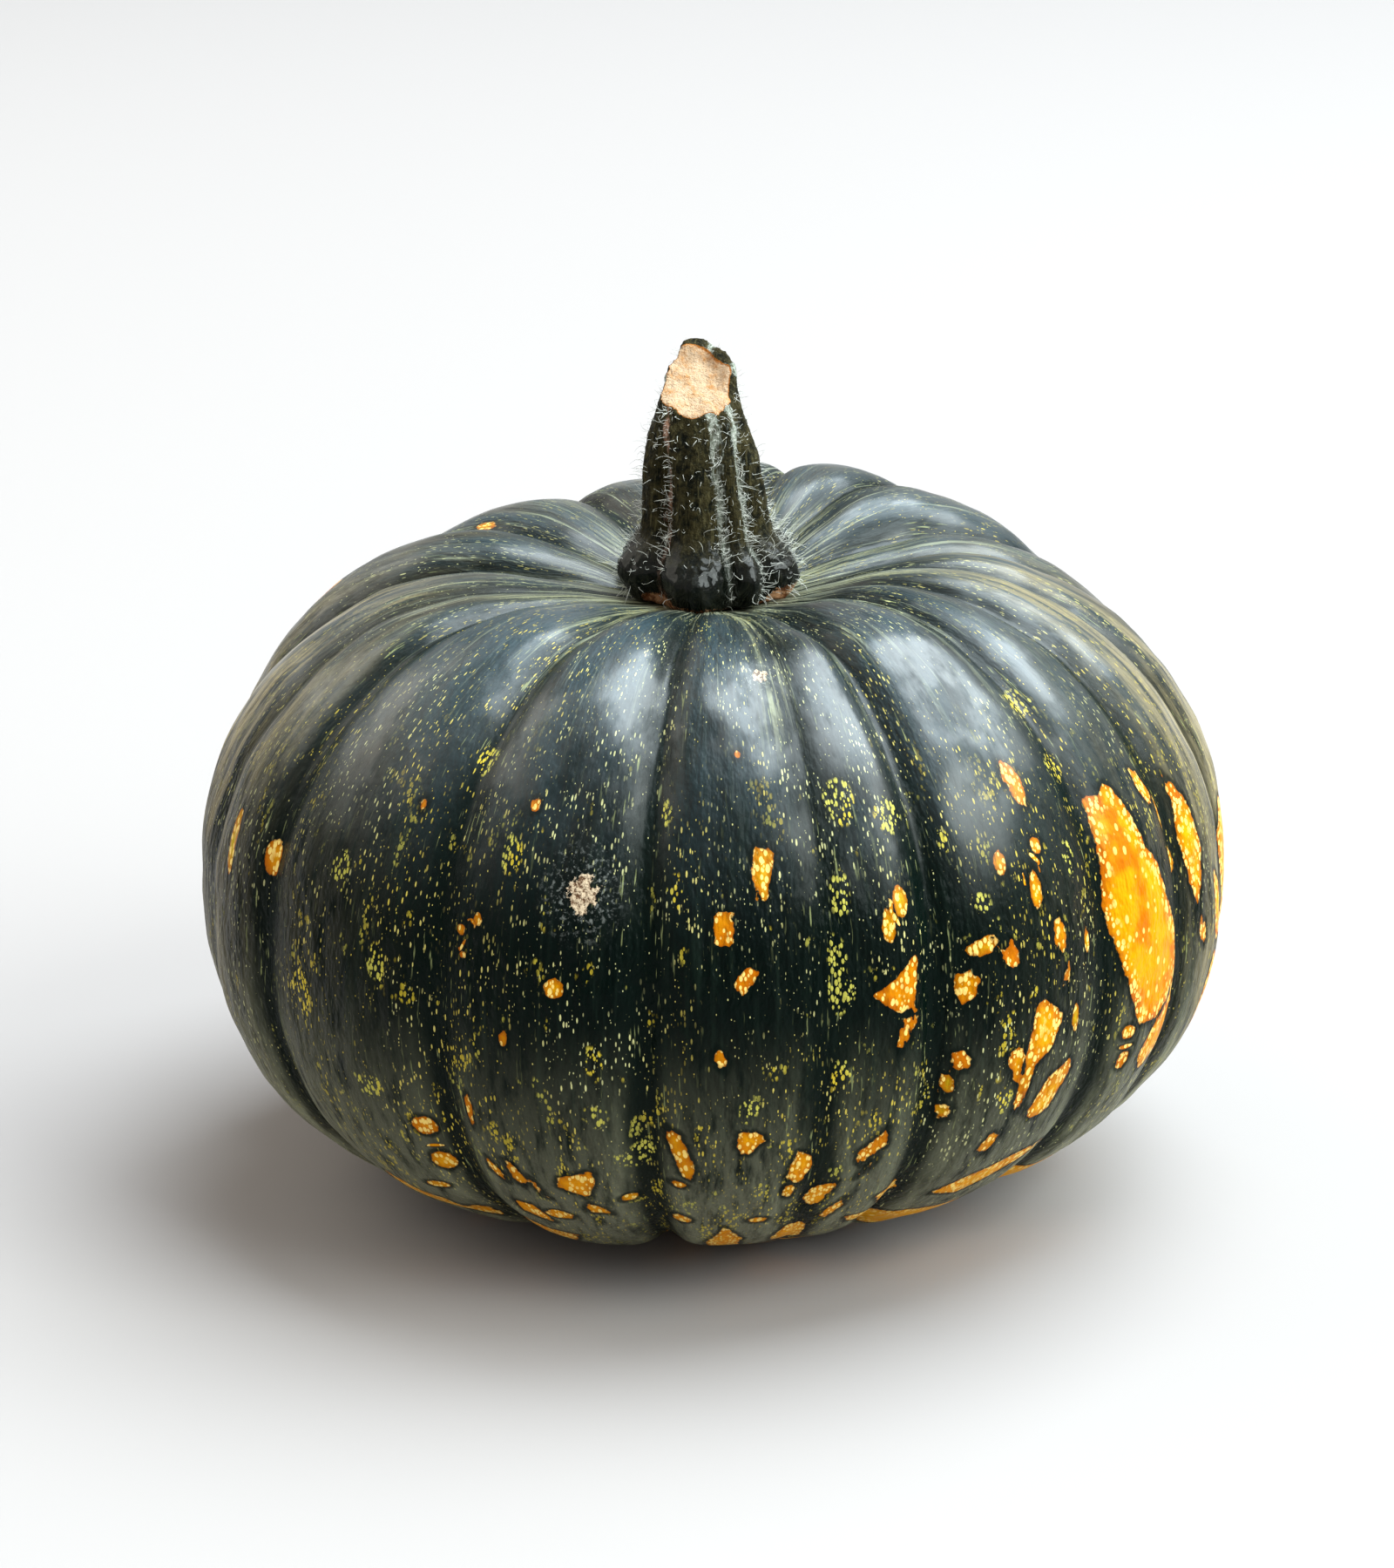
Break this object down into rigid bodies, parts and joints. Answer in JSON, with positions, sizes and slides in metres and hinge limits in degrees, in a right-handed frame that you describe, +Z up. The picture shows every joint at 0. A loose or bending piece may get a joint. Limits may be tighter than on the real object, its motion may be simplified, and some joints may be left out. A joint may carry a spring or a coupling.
{
  "type": "pumpkin",
  "caption": "Low round pumpkin with broad ribs, a hollow round the foot of its short cut stem, and small flat spots to rest on.",
  "frame": {"origin": "on the surface that the pumpkin rests on, under the middle of its box", "axes": "+Z up along the fruit's axis towards the stem, -Y towards the front"},
  "size_m": [0.1846, 0.184, 0.1494],
  "materials": {
    "rind": "dark green waxy rind with orange and pale yellow-green flecks, satin",
    "stem_bark": "dark green corky stem with short pale hairs and a cream fibrous cut"
  },
  "bodies": {
    "root": {"fruit": "rind", "stem": "stem_bark"}
  },
  "joints": []
}
